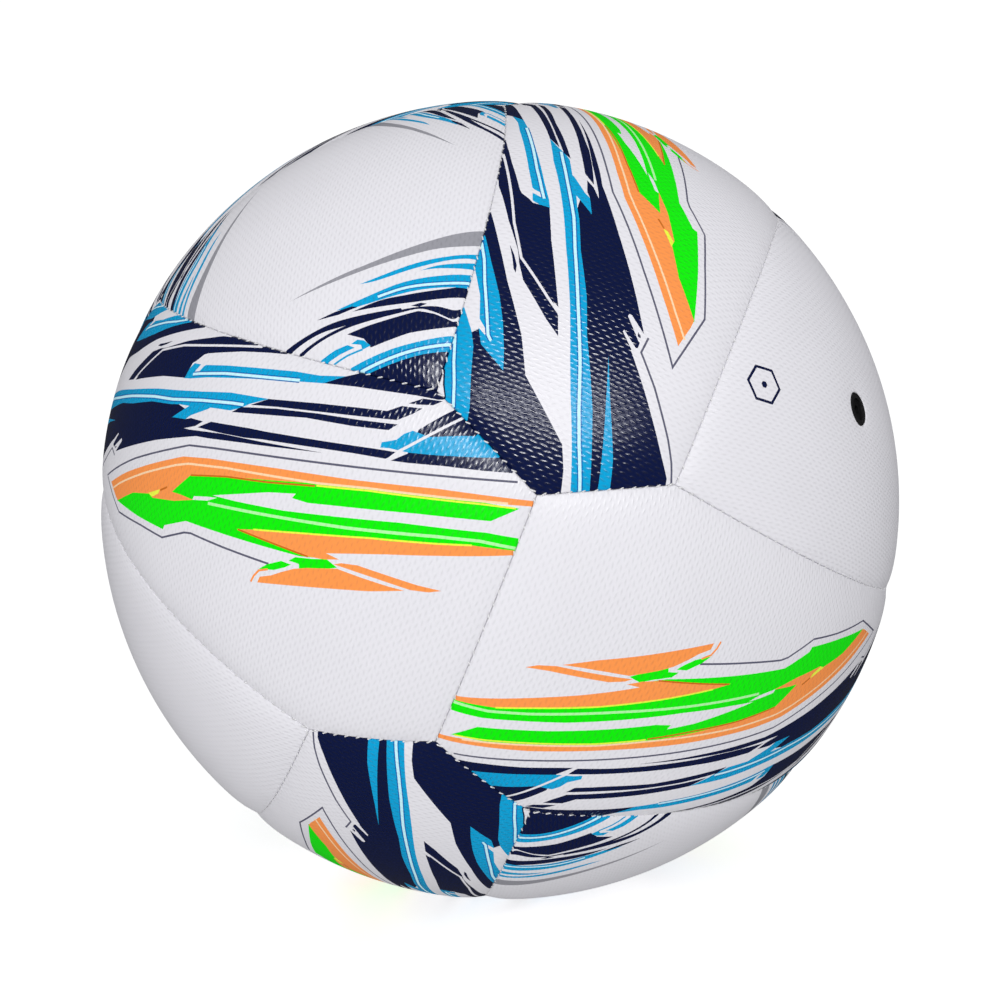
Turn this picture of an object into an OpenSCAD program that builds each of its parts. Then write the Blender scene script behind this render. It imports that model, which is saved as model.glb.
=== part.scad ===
// Size 5 soccer ball: 20 sewn cover panels, their foam and lining, a bladder and its valve.
// The seams repeat by the turns of a tetrahedron: 12 long seven-sided panels, 8 triangles.

/* [Ball] */

// outside diameter of the inflated ball, mm
ball_d = 220; // [205:1:223]

/* [Seam pattern] */

// half of the straight seam between two wide ends, degrees seen from the centre
end_seam_half = 14.3; // [13:0.1:15.5]

// where three long seams meet: angle from the pattern's Z axis, degrees
corner_polar = 24.2; // [23:0.1:26]

// the same corner: angle around the pattern's Z axis, degrees
corner_azimuth = 33.2; // [31:0.1:35]

// how far the middle of a long seam bows away from its triangle, degrees
seam_bow = 2.9; // [1.5:0.1:4]

/* [Pose on the ground] */

// turn of the whole pattern about X, degrees
pose_x = 121.07; // [-180:0.01:180]

// then about Y, degrees
pose_y = -65.03; // [-180:0.01:180]

// then about Z, degrees
pose_z = -29.70; // [-180:0.01:180]

/* [Wall layers] */

// thickness of the synthetic leather cover, mm
cover_t = 1.0; // [0.8:0.1:1.4]

// thickness of the foam behind each cover panel, mm
foam_t = 2.2; // [1.5:0.1:3]

// thickness of the woven lining behind the foam, mm
lining_t = 0.8; // [0.5:0.1:1.2]

// room for the glue between two layers, mm
bond_gap = 0.05; // [0.03:0.01:0.1]

/* [Seams] */

// gap between the folded edges of two neighbours, mm
seam_gap = 0.3; // [0.2:0.05:0.5]

// width of the groove along a seam at the surface, mm
groove_w = 1.0; // [0.8:0.1:1.4]

// how far the folded edge reaches in past the lining, mm
fold_past_lining = 0.2; // [0.1:0.05:0.3]

// thickness of the waxed sewing thread, mm
thread_d = 0.56; // [0.4:0.02:0.6]

// how far a run of thread stops short of each junction, mm
thread_trim = 1.4; // [1.2:0.1:2.5]

/* [Bladder and patch] */

// wall of the latex bladder, mm
bladder_t = 0.7; // [0.5:0.1:1.2]

// thickness of the reinforcing cloth around the valve, mm
patch_t = 0.3; // [0.2:0.05:0.5]

// diameter of the reinforcing cloth, mm
patch_d = 44; // [34:1:48]

/* [Valve] */

// diameter of the rubber neck that shows at the surface, mm
neck_d = 7.4; // [7:0.1:9]

// clearance around the neck in the wall layers, mm
neck_clear = 0.2; // [0.1:0.05:0.4]

// how far the neck ends below the surface, mm
neck_recess = 0.4; // [0.2:0.1:1]

// diameter of the pad that bonds the valve to the bladder, mm
pad_d = 28; // [22:1:34]

// thickness of that pad, mm
pad_t = 1.6; // [1:0.1:2.5]

// outside diameter of the barrel inside the bladder, mm
barrel_d = 11; // [10.5:0.5:14]

// length of the needle plug, mm
plug_len = 18; // [14:1:24]

// diameter of the needle plug, mm
plug_d = 5; // [4.4:0.1:5.2]

// diameter of the plug's locking collar, mm
collar_d = 7; // [6.4:0.2:8]

// height of the locking collar, mm
collar_h = 2; // [1.5:0.5:3]

// clearance between the plug and its housing, mm
plug_clear = 0.05; // [0.03:0.01:0.1]

// diameter of the hole for the inflation needle, mm
needle_d = 2; // [1.8:0.1:2.2]

/* [Part] */

// which sub-part to show

/* [Hidden] */

$fn = 96;
eps = 0.01;

ball_r = ball_d / 2;
cover_low = ball_r - cover_t;
foam_high = cover_low - bond_gap;
foam_low = foam_high - foam_t;
lining_high = foam_low - bond_gap;
lining_low = lining_high - lining_t;
patch_high = lining_low - bond_gap;
patch_low = patch_high - patch_t;
bladder_high = patch_low - 2 * bond_gap;
bladder_low = bladder_high - bladder_t;
fold_low = lining_low - fold_past_lining;
fold_high = cover_low + 0.3 * cover_t;
backing_inset = seam_gap / 2 + cover_t + bond_gap;
thread_r = fold_high + thread_d / 2 + eps;
pad_high = bladder_low - bond_gap;
neck_high = ball_r - neck_recess;
plug_high = neck_high - neck_recess;
plug_low = plug_high - plug_len;
collar_low = (plug_low + pad_high - pad_t) / 2;

cover_white = [0.89, 0.89, 0.91];
foam_cream = [0.93, 0.88, 0.72];
lining_ecru = [0.80, 0.78, 0.72];
thread_white = [0.95, 0.95, 0.94];
latex_black = [0.10, 0.10, 0.11];
valve_black = [0.06, 0.06, 0.07];
patch_grey = [0.55, 0.56, 0.58];

X = [1, 0, 0];
Y = [0, 1, 0];
Z = [0, 0, 1];

// ---- points and planes of the seam pattern, as directions from the ball's centre ----

function unit(v) = v / norm(v);
// the third of a turn about (1, 1, 1), and the mirror in the XZ plane
function third(v) = [v.z, v.x, v.y];
function flip(v) = [v.x, -v.y, v.z];

tip = [sin(end_seam_half), 0, cos(end_seam_half)];
corner = [
    sin(corner_polar) * cos(corner_azimuth),
    sin(corner_polar) * sin(corner_azimuth),
    cos(corner_polar)
];
wide_corner = third(corner);
wide_end = third(tip);
long_centre = unit(X + Z);

// A long seam is the arc through both corners and a bowed middle: a small circle.
bow_out = unit(cross(wide_corner, corner));
bow_middle = unit(wide_corner + corner) * cos(seam_bow) + bow_out * sin(seam_bow);
bow_normal = unit(cross(wide_corner - bow_middle, corner - bow_middle));
bow_axis = bow_normal * sign(bow_normal * corner);
bow_angle = acos(bow_axis * corner);

function degrees_of(mm) = mm / ball_r * 180 / PI;
// normal of the plane through two points and the centre, facing the long panel
function facing(a, b) = let (n = unit(cross(a, b))) n * sign(n * long_centre);
// the direction that lies d degrees inside both planes
function meet(n1, n2, d) =
    let (
        s = n1 + n2,
        k = cross(n1, n2),
        a = sin(d) / (1 + n1 * n2),
        b = sqrt(1 - a * a * (s * s)) / norm(k)
    )
    a * s + b * k * sign(k * long_centre);

long_planes = [
    facing(tip, corner),
    facing(wide_corner, wide_end),
    facing(wide_end, flip(wide_end)),
    facing(flip(wide_corner), flip(wide_end)),
    facing(tip, flip(corner))
];

// ---- placing ----

// from the seam pattern's own axes to the ball's pose on the ground
module posed() rotate([pose_x, pose_y, pose_z]) children();

// turns +Z to the direction v
module along(v) rotate([0, acos(v.z / norm(v)), atan2(v.y, v.x)]) children();

// puts the pattern's long panel where its wide end points along w and its tip along t
module long_spot(w, t) {
    s = cross(t, w);
    posed() multmatrix([[w.x, s.x, t.x], [w.y, s.y, t.y], [w.z, s.z, t.z]]) children();
}

// ---- cells: all that lies between a panel's own seams, from the centre outwards ----

module bow_cone(axis, angle) {
    reach = 1.1 * ball_r;
    along(axis) cylinder(h = reach, r1 = 0, r2 = reach * tan(angle));
}

module long_cell(inset) {
    d = degrees_of(inset);
    reach = 1.1 * ball_r;
    rim = [for (i = [0:4]) meet(long_planes[i], long_planes[(i + 1) % 5], d)];
    difference() {
        polyhedron(
            concat([[0, 0, 0]], [for (v = rim) v * reach / (v * long_centre)]),
            concat([for (i = [1:5]) [0, i % 5 + 1, i]], [[1, 2, 3, 4, 5]])
        );
        for (axis = [bow_axis, flip(bow_axis)]) bow_cone(axis, bow_angle + d);
    }
}

// k holds the signs of the triangle's centre, such as [1, -1, 1]
module tri_cell(k, inset) {
    intersection_for (a = [bow_axis, third(bow_axis), third(third(bow_axis))])
        bow_cone([a.x * k.x, a.y * k.y, a.z * k.z], bow_angle - degrees_of(inset));
}

module cell(k, inset) {
    if (is_undef(k)) long_cell(inset);
    else tri_cell(k, inset);
}

module shell(low, high) {
    difference() {
        sphere(r = high);
        sphere(r = low);
    }
}

module layer(k, inset, low, high) {
    intersection() {
        shell(low, high);
        cell(k, inset);
    }
}

// ---- the wall ----

// the outer face, and the edge folded in along the seams for sewing
module cover(k = undef) {
    color(cover_white) {
        layer(k, groove_w / 2, cover_low, ball_r);
        difference() {
            layer(k, seam_gap / 2, fold_low, fold_high);
            cell(k, seam_gap / 2 + cover_t);
        }
    }
}

module foam(k = undef) color(foam_cream) layer(k, backing_inset, foam_low, foam_high);

module lining(k = undef) color(lining_ecru) layer(k, backing_inset, lining_low, lining_high);

// ---- valve ----

valve_at = [1, -1, 1];

module at_valve() posed() along(valve_at) children();

module neck_hole() at_valve() cylinder(h = 1.1 * ball_r, d = neck_d + 2 * neck_clear);

module tube(low, high, d) translate([0, 0, low]) cylinder(h = high - low, d = d);

module plug_shape(clear) {
    tube(plug_low - clear, plug_high + clear, plug_d + 2 * clear);
    tube(collar_low - clear, collar_low + collar_h + clear, collar_d + 2 * clear);
}

module valve_housing() {
    color(valve_black) at_valve() difference() {
        union() {
            tube(plug_low + 1, pad_high - pad_t / 2, barrel_d);
            tube(pad_high - pad_t, neck_high, neck_d);
            intersection() {
                shell(pad_high - pad_t, pad_high);
                cylinder(h = ball_r, d = pad_d);
            }
        }
        plug_shape(plug_clear);
        tube(plug_high, ball_r, plug_d + 2 * plug_clear);
        tube(plug_low - 1, plug_low + 2, plug_d + 2 * plug_clear);
    }
}

module needle_plug() {
    color(valve_black) at_valve() difference() {
        plug_shape(0);
        tube(plug_low - 1, ball_r, needle_d);
    }
}

module valve_patch() {
    color(patch_grey) at_valve() difference() {
        intersection() {
            shell(patch_low, patch_high);
            cylinder(h = ball_r, d = patch_d);
        }
        cylinder(h = ball_r, d = neck_d + 2 * neck_clear);
    }
}

module bladder() {
    color(latex_black) difference() {
        shell(bladder_low, bladder_high);
        neck_hole();
    }
}

// ---- sewing thread: one run in the groove of each seam ----

// the stretch from a to b of the circle around c
module seam_run(c, a, b) {
    from = unit(a - c * (c * a));
    to = unit(b - c * (c * b));
    turn = sign(cross(c, from) * to);
    up = c * turn;
    side = cross(up, from);
    out = norm(a - c * (c * a));
    short = thread_trim / (ball_r * out) * 180 / PI;
    multmatrix([[from.x, side.x, up.x], [from.y, side.y, up.y], [from.z, side.z, up.z]])
        rotate([0, 0, short])
        rotate_extrude(angle = acos(from * to) - 2 * short)
        translate([thread_r * out, thread_r * (up * a)])
        circle(d = thread_d, $fn = 24);
}

module great_run(a, b) seam_run(unit(cross(a, b)), a, b);

module long_panel_runs() {
    seam_run(bow_axis, corner, wide_corner);
    seam_run(flip(bow_axis), flip(corner), flip(wide_corner));
    great_run(tip, corner);
    great_run(tip, flip(corner));
}

module seam_thread() {
    color(thread_white) for (w = [-1, 1], t = [-1, 1]) {
        long_spot(w * X, t * Z) long_panel_runs();
        long_spot(w * Z, t * Y) long_panel_runs();
        long_spot(w * Y, t * X) long_panel_runs();
        if (t > 0) {
            long_spot(w * X, t * Z) great_run(wide_end, flip(wide_end));
            long_spot(w * Z, t * Y) great_run(wide_end, flip(wide_end));
            long_spot(w * Y, t * X) great_run(wide_end, flip(wide_end));
        }
    }
}

// ---- the pieces by name: front is -Y, right is +X, top is +Z ----

module long_panel_front_upper() long_spot(X, Z) cover();
module long_panel_front_left() long_spot(Z, Y) cover();
module long_panel_front_right() long_spot(Z, -Y) cover();
module long_panel_bottom_front() long_spot(-X, Z) cover();
module long_panel_top_left() long_spot(Y, X) cover();
module long_panel_top_rear() long_spot(X, -Z) cover();
module long_panel_left_lower() long_spot(Y, -X) cover();
module long_panel_right_upper() long_spot(-Y, X) cover();
module long_panel_bottom_right() long_spot(-Y, -X) cover();
module long_panel_rear_left() long_spot(-Z, Y) cover();
module long_panel_rear_right() long_spot(-Z, -Y) cover();
module long_panel_rear_lower() long_spot(-X, -Z) cover();

module printed_triangle_front_upper_left() posed() cover([1, 1, 1]);
module printed_triangle_bottom_front() posed() cover([-1, -1, 1]);
module printed_triangle_right_rear() posed() cover([1, -1, -1]);
module printed_triangle_rear_left() posed() cover([-1, 1, -1]);
module plain_triangle_left_lower() posed() cover([-1, 1, 1]);
module plain_triangle_top_rear() posed() cover([1, 1, -1]);
module plain_triangle_rear_lower() posed() cover([-1, -1, -1]);

module valve_triangle_front_right() {
    color(cover_white) difference() {
        posed() cover(valve_at);
        neck_hole();
    }
}

module foam_front_upper() long_spot(X, Z) foam();
module foam_front_left() long_spot(Z, Y) foam();
module foam_front_right() long_spot(Z, -Y) foam();
module foam_bottom_front() long_spot(-X, Z) foam();
module foam_top_left() long_spot(Y, X) foam();
module foam_top_rear() long_spot(X, -Z) foam();
module foam_left_lower() long_spot(Y, -X) foam();
module foam_right_upper() long_spot(-Y, X) foam();
module foam_bottom_right() long_spot(-Y, -X) foam();
module foam_rear_left() long_spot(-Z, Y) foam();
module foam_rear_right() long_spot(-Z, -Y) foam();
module foam_rear_lower() long_spot(-X, -Z) foam();

module foam_triangle_front_upper_left() posed() foam([1, 1, 1]);
module foam_triangle_bottom_front() posed() foam([-1, -1, 1]);
module foam_triangle_right_rear() posed() foam([1, -1, -1]);
module foam_triangle_rear_left() posed() foam([-1, 1, -1]);
module foam_triangle_left_lower() posed() foam([-1, 1, 1]);
module foam_triangle_top_rear() posed() foam([1, 1, -1]);
module foam_triangle_rear_lower() posed() foam([-1, -1, -1]);

module foam_triangle_valve() {
    color(foam_cream) difference() {
        posed() foam(valve_at);
        neck_hole();
    }
}

module lining_long_panels() {
    for (w = [-1, 1], t = [-1, 1]) {
        long_spot(w * X, t * Z) lining();
        long_spot(w * Z, t * Y) lining();
        long_spot(w * Y, t * X) lining();
    }
}

module lining_triangles() {
    color(lining_ecru) difference() {
        posed() for (x = [-1, 1], y = [-1, 1], z = [-1, 1]) lining([x, y, z]);
        neck_hole();
    }
}

long_panel_front_upper();
long_panel_front_left();
long_panel_front_right();
long_panel_bottom_front();
long_panel_top_left();
long_panel_top_rear();
long_panel_left_lower();
long_panel_right_upper();
long_panel_bottom_right();
long_panel_rear_left();
long_panel_rear_right();
long_panel_rear_lower();
printed_triangle_front_upper_left();
printed_triangle_bottom_front();
printed_triangle_right_rear();
printed_triangle_rear_left();
plain_triangle_left_lower();
plain_triangle_top_rear();
plain_triangle_rear_lower();
valve_triangle_front_right();
foam_front_upper();
foam_front_left();
foam_front_right();
foam_bottom_front();
foam_top_left();
foam_top_rear();
foam_left_lower();
foam_right_upper();
foam_bottom_right();
foam_rear_left();
foam_rear_right();
foam_rear_lower();
foam_triangle_front_upper_left();
foam_triangle_bottom_front();
foam_triangle_right_rear();
foam_triangle_rear_left();
foam_triangle_left_lower();
foam_triangle_top_rear();
foam_triangle_rear_lower();
foam_triangle_valve();
lining_long_panels();
lining_triangles();
seam_thread();
bladder();
valve_patch();
valve_housing();
needle_plug();
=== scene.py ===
import math

import bpy
import numpy as np
from mathutils import Euler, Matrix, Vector
from mathutils.geometry import delaunay_2d_cdt


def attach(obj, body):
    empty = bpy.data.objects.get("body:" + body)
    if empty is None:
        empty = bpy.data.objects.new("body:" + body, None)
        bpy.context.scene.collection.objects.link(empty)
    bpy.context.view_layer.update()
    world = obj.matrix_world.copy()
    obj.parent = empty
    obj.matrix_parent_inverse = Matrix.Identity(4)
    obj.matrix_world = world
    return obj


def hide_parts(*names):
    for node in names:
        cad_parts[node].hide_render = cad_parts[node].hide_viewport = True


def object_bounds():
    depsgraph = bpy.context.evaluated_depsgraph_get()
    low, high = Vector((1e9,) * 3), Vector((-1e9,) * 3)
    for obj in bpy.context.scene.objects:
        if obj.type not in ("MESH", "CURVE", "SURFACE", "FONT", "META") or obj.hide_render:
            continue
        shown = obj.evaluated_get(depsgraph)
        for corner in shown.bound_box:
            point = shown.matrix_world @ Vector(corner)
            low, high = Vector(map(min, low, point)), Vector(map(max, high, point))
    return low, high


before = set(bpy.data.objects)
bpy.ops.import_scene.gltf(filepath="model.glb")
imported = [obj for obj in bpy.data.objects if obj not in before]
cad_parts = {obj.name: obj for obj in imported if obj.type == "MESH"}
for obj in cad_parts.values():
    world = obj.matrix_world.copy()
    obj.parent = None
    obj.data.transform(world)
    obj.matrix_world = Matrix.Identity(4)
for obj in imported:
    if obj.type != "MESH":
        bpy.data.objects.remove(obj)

# The looks of the soccer ball: printed and plain cover panels with their sewn seams, the layers
# inside, the valve, and a plain studio. Lengths in the panel code are millimetres.

CAD_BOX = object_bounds()
MM = 0.001
BALL_R = (CAD_BOX[1].z - CAD_BOX[0].z) / 2 / MM
X, Y, Z = np.eye(3)

# ---- seam pattern and pose, the same numbers as the CAD, in degrees ----

END_SEAM_HALF = 14.3
CORNER_POLAR = 24.2
CORNER_AZIMUTH = 33.2
SEAM_BOW = 2.9
POSE = (121.07, -65.03, -29.70)

# ---- cover section, mm ----

SEAM_GAP = 0.015  # from the seam's middle to a panel's wall
ROLL = 0.32  # radius of a panel's rolled edge
PILLOW = 0.6  # how far a panel's edge lies below its middle
PILLOW_REACH = 10.0  # how far in from the seam that slope reaches
SHOULDER = 0.3  # how much more it drops close to the seam
SHOULDER_REACH = 1.6
PUCKER = 0.1  # how far a stitch pulls the edge down
PUCKER_REACH = 0.9
STITCH_PITCH = 2.6
WALL_LOW = 105.7  # radius of the folded edge's lower end
UNDERSIDE = 109.0  # radius of the cover's underside
FOLD_SHARE = 0.035  # the folded edge's thickness as a share of the way to the panel's middle
SOFTEN = 1.5  # how gradually the slopes of neighbouring seams run into each other
SAME_SEAM = 0.02  # seams whose distances differ by less meet there
PANEL_REACH = 40.0  # about how far a panel's edge is from its middle
HOLE_R = 3.9  # hole around the valve neck
HOLE_ROLL = 0.4
HOLE_DIP = 0.25
HOLE_DIP_REACH = 2.2
HOLE_SIDES = 36

# ---- mesh steps, mm ----

RIM_STEP = 0.85
GRID_STEP = 2.4
UNDERSIDE_STEP = 6.0
SHAPE_STEP = 1.8
NORMAL_STEP = 0.05
ROLL_ROWS = 4
LOOP_ROOM = 0.55  # how far grid places stay from the rim, in grid steps
SHAPE_ROOM = 0.25  # and from the print's edges


def srgb(red, green, blue):
    """Linear colour of an 8-bit sRGB one."""
    share = np.array([red, green, blue]) / 255
    return tuple(np.where(share <= 0.04045, share / 12.92, ((share + 0.055) / 1.055) ** 2.4))


# name: (colour, roughness, shine of the embossed dashes, how much painted shade darkens the dashes in
# its colour)
INKS = {
    "white": (srgb(227, 226, 232), 0.3, 0.5, 0.36),
    "navy": (srgb(13, 23, 63), 0.15, 1.0, 1.0),
    "cyan": (srgb(0, 160, 213), 0.2, 0.8, 1.0),
    "deep_cyan": (srgb(0, 108, 180), 0.2, 0.7, 0.8),
    "pale_cyan": (srgb(196, 240, 250), 0.36, 0.25, 0.5),
    "orange": (srgb(252, 151, 78), 0.3, 0.25, 0.6),
    "dark_orange": (srgb(200, 105, 22), 0.38, 0.18, 0.45),
    "peach": (srgb(255, 214, 172), 0.38, 0.18, 0.45),
    "green": (srgb(8, 239, 0), 0.3, 0.25, 1.2),
    "pale_green": (srgb(176, 245, 166), 0.38, 0.18, 0.45),
    "yellow": (srgb(232, 246, 70), 0.38, 0.18, 0.45),
    "grey": (srgb(150, 150, 158), 0.3, 0.3, 0.6),
    "line": (srgb(92, 92, 112), 0.38, 0.22, 0.4),
}
INK_NAMES = list(INKS)
BACK = len(INK_NAMES)


def unit(v):
    v = np.asarray(v, float)
    return v / np.linalg.norm(v)


# ---- seam pattern ----


def third(v):
    """A third of a turn about (1, 1, 1)."""
    return np.array([v[2], v[0], v[1]])


def flip(v):
    return v * np.array([1, -1, 1])


def polar(angle, around=0.0):
    """The direction that many degrees from the pattern's Z, turned around it."""
    a, b = math.radians(angle), math.radians(around)
    return np.array([math.sin(a) * math.cos(b), math.sin(a) * math.sin(b), math.cos(a)])


def bowed_seam(corner, wide_corner):
    """Axis and angle of the small circle that a long seam follows."""
    bow = math.radians(SEAM_BOW)
    out = unit(np.cross(wide_corner, corner))
    middle = unit(wide_corner + corner) * math.cos(bow) + out * math.sin(bow)
    normal = unit(np.cross(wide_corner - middle, corner - middle))
    axis = normal * np.sign(normal @ corner)
    return axis, math.acos(axis @ corner)


tip = polar(END_SEAM_HALF)
corner = polar(CORNER_POLAR, CORNER_AZIMUTH)
wide_corner = third(corner)
wide_end = third(tip)
bow_axis, bow_angle = bowed_seam(corner, wide_corner)
long_middle = unit(X + Z)
POSED = np.array(Euler([math.radians(a) for a in POSE]).to_matrix())


def half_space(a, b):
    """The cap on the long panel's side of the great circle through a and b."""
    normal = unit(np.cross(a, b))
    return normal * np.sign(normal @ long_middle), math.pi / 2


class Outline:
    """A panel shape in its own axes: x to the right, y up, z out of its middle. It is where several
    spherical caps overlap, and a cap is (its axis, its angle from the axis to its rim)."""

    def __init__(self, axes, caps, middle, rolled_map):
        local = [(axes @ axis, angle) for axis, angle in caps]
        self.caps = sorted(local, key=lambda c: math.atan2(c[0][1], c[0][0]))
        self.axes = np.array([axis for axis, _ in self.caps])
        self.angles = np.array([angle for _, angle in self.caps])
        self.middle = np.array(middle, float)
        self.rolled_map = rolled_map
        self.runs = [self.run(i) for i in range(len(self.caps))]

    def directions(self, uv):
        """Directions of flat panel places. A long panel is rolled flat like a map in degrees of
        latitude (u) and longitude (v), and a triangle keeps distances from its middle."""
        if self.rolled_map:
            lat, lon = uv[:, 0] / BALL_R, uv[:, 1] / BALL_R
            return np.stack([np.sin(lat), np.cos(lat) * np.sin(lon), np.cos(lat) * np.cos(lon)], 1)
        r = np.linalg.norm(uv, axis=1) + 1e-9
        across = np.sin(r / BALL_R) / r
        return np.stack([uv[:, 0] * across, uv[:, 1] * across, np.cos(r / BALL_R)], 1)

    def flat(self, p):
        """The reverse of directions."""
        if self.rolled_map:
            return BALL_R * np.stack([np.arcsin(p[:, 0]), np.arctan2(p[:, 1], p[:, 2])], 1)
        across = np.linalg.norm(p[:, :2], axis=1) + 1e-12
        return p[:, :2] * (BALL_R * np.arctan2(across, p[:, 2]) / across)[:, None]

    def corner(self, i, inset):
        """Where cap i meets the cap before it, both shrunk by inset."""
        (a, p), (b, q) = self.caps[i - 1], self.caps[i]
        cp, cq, g = math.cos(p - inset / BALL_R), math.cos(q - inset / BALL_R), a @ b
        x, y = (cp - g * cq) / (1 - g * g), (cq - g * cp) / (1 - g * g)
        k = np.cross(a, b)
        z = math.sqrt((1 - x * x - y * y - 2 * x * y * g) / (k @ k))
        return x * a + y * b + z * math.copysign(1, k[2]) * k

    def run(self, i, inset=0.0):
        """The seam along cap i: centre of its circle, two half-axes from the start, and its turn."""
        axis = self.caps[i][0]
        start = self.corner(i, inset)
        end = self.corner((i + 1) % len(self.caps), inset)
        centre = axis * (axis @ start)
        ahead = start - centre
        side = np.cross(axis, ahead)
        return centre, ahead, side, math.atan2((end - centre) @ side, (end - centre) @ ahead) % math.tau

    def rim(self, inset, step):
        """Directions all round the panel, inset from its seams."""
        found = []
        for i in range(len(self.caps)):
            centre, ahead, side, turn = self.run(i, inset)
            count = math.ceil(turn * np.linalg.norm(ahead) * BALL_R / step)
            t = np.arange(count)[:, None] * turn / count
            found.append(centre + np.cos(t) * ahead + np.sin(t) * side)
        return np.concatenate(found)

    def seam_distances(self, p):
        """Distance from each direction to each seam."""
        return BALL_R * (self.angles - np.arccos(np.clip(p @ self.axes.T, -1, 1)))

    def outward(self, p):
        """The direction along the surface that leaves the panel, longer where two seams meet."""
        near = self.seam_distances(p)
        found = np.zeros_like(p)
        for k, q in enumerate(p):
            close = np.nonzero(near[k] < near[k].min() + SAME_SEAM)[0]
            leaving = [-unit(self.axes[i] - (self.axes[i] @ q) * q) for i in close]
            total = np.sum(leaving, axis=0)
            found[k] = total * len(leaving) / (total @ total) if len(leaving) > 1 else total
        return found

    def stitch_phase(self, p):
        """How many stitches from the start of each seam, for each direction."""
        columns = []
        for centre, ahead, side, turn in self.runs:
            angle = np.arctan2((p - centre) @ side, (p - centre) @ ahead)
            columns.append(angle / turn * stitch_count(ahead, turn))
        return np.stack(columns, 1)

    def height(self, p, has_hole):
        """Radius of the cover's outer face in each direction."""
        near = self.seam_distances(p)
        soft = -SOFTEN * np.log(np.exp(-np.clip(near, -9, 60) / SOFTEN).sum(1))
        dip = PILLOW * np.clip(1 - soft / PILLOW_REACH, 0, 1.3) ** 2
        dip += SHOULDER * np.exp(-np.clip(soft, 0, 60) / SHOULDER_REACH)
        pull = 0.5 - 0.5 * np.cos(math.tau * self.stitch_phase(p))
        dip += (PUCKER * np.exp(-np.clip(near, 0, 60) / PUCKER_REACH) * pull).sum(1)
        if has_hole:
            out = np.linalg.norm(self.flat(p), axis=1) - HOLE_R
            dip += HOLE_DIP * np.exp(-np.clip(out, 0, 60) / HOLE_DIP_REACH)
        return BALL_R - dip

    def normals(self, p, has_hole):
        """Normals of the outer face, from small steps along the surface."""
        side = np.cross(p, np.where(np.abs(p[:, :1]) < 0.9, X, Y))
        side /= np.linalg.norm(side, axis=1)[:, None]
        tilt = np.zeros_like(p)
        for along in (side, np.cross(p, side)):
            there = p + along * NORMAL_STEP / BALL_R
            back = p - along * NORMAL_STEP / BALL_R
            rise = self.height(there, has_hole) - self.height(back, has_hole)
            tilt += along * (rise / (2 * NORMAL_STEP))[:, None]
        n = p - tilt
        return n / np.linalg.norm(n, axis=1)[:, None]


def stitch_count(ahead, turn):
    return max(1, round(turn * np.linalg.norm(ahead) * BALL_R / STITCH_PITCH))


LONG_AXES = np.array([Y, unit(Z - X), long_middle])
TRIANGLE_OUT = unit(X + Y + Z)
TRIANGLE_UP = unit(corner - TRIANGLE_OUT * (TRIANGLE_OUT @ corner))
TRIANGLE_AXES = np.array([np.cross(TRIANGLE_UP, TRIANGLE_OUT), TRIANGLE_UP, TRIANGLE_OUT])
LONG = Outline(
    LONG_AXES,
    [
        half_space(tip, corner),
        half_space(tip, flip(corner)),
        half_space(wide_corner, wide_end),
        half_space(flip(wide_corner), flip(wide_end)),
        half_space(wide_end, flip(wide_end)),
        (-bow_axis, math.pi - bow_angle),
        (-flip(bow_axis), math.pi - bow_angle),
    ],
    (0, -15),
    rolled_map=True,
)
TRIANGLE = Outline(
    TRIANGLE_AXES,
    [(bow_axis, bow_angle), (third(bow_axis), bow_angle), (third(third(bow_axis)), bow_angle)],
    (0, 0),
    rolled_map=False,
)


# ---- drawing the print: outlines in flat panel millimetres ----


def smooth(points, steps=5):
    """A curve through the points, its ends sharp."""
    p = np.array(points, float)
    ends = np.concatenate([[2 * p[0] - p[1]], p, [2 * p[-1] - p[-2]]])
    found = []
    for a, b, c, d in zip(ends, ends[1:], ends[2:], ends[3:]):
        for t in np.arange(steps) / steps:
            found.append(
                0.5 * (2 * b + (c - a) * t + (2 * a - 5 * b + 4 * c - d) * t**2
                       + (3 * b - a - 3 * c + d) * t**3)
            )
    return np.array(found + [p[-1]])


def band(ink, one_side, other_side):
    """A curved stripe between two curves that both run the same way."""
    return ink, np.concatenate([smooth(one_side), smooth(other_side)[::-1]])


def line(ink, points, width, curved=False):
    """A line of even width through the points."""
    p = smooth(points) if curved else np.array(points, float)
    along = np.diff(p, axis=0)
    along /= np.linalg.norm(along, axis=1)[:, None]
    sides = np.stack([-along[:, 1], along[:, 0]], 1)
    joints = np.concatenate([sides[:1], sides[:-1] + sides[1:], sides[-1:]])
    joints[1:-1] *= (2 / (joints[1:-1] ** 2).sum(1))[:, None]
    return ink, np.concatenate([p + joints * width / 2, (p - joints * width / 2)[::-1]])


def pale_line(points, width, curved=False):
    """A pale line with a thin deeper blue edge on both sides."""
    return [line("deep_cyan", points, width + 0.5, curved), line("pale_cyan", points, width, curved)]


def shape(ink, *points):
    return ink, np.array(points, float)


def bolt_outline():
    """The thin line round the green and orange bolt, and the one along the navy block."""
    fine = 0.42
    return [
        line("line", [(-6.2, -42), (-8.4, -30), (-10, -20.5), (-10.8, -18.5), (-15.4, -11.5),
                      (-17, -2), (-19.8, 11.3), (-16.2, 25.2), (-9.8, 15), (-5, 7.3), (6.1, -12),
                      (7.2, -15.2), (8.6, -19.3), (9.8, -23), (28.4, -82)], fine),
        line("line", [(-24.4, 48), (-22.3, 43.4), (-20, 39.5), (-14, 30.9), (-9.3, 25.2),
                      (-9.8, 21.6)], fine),
    ]


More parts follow.
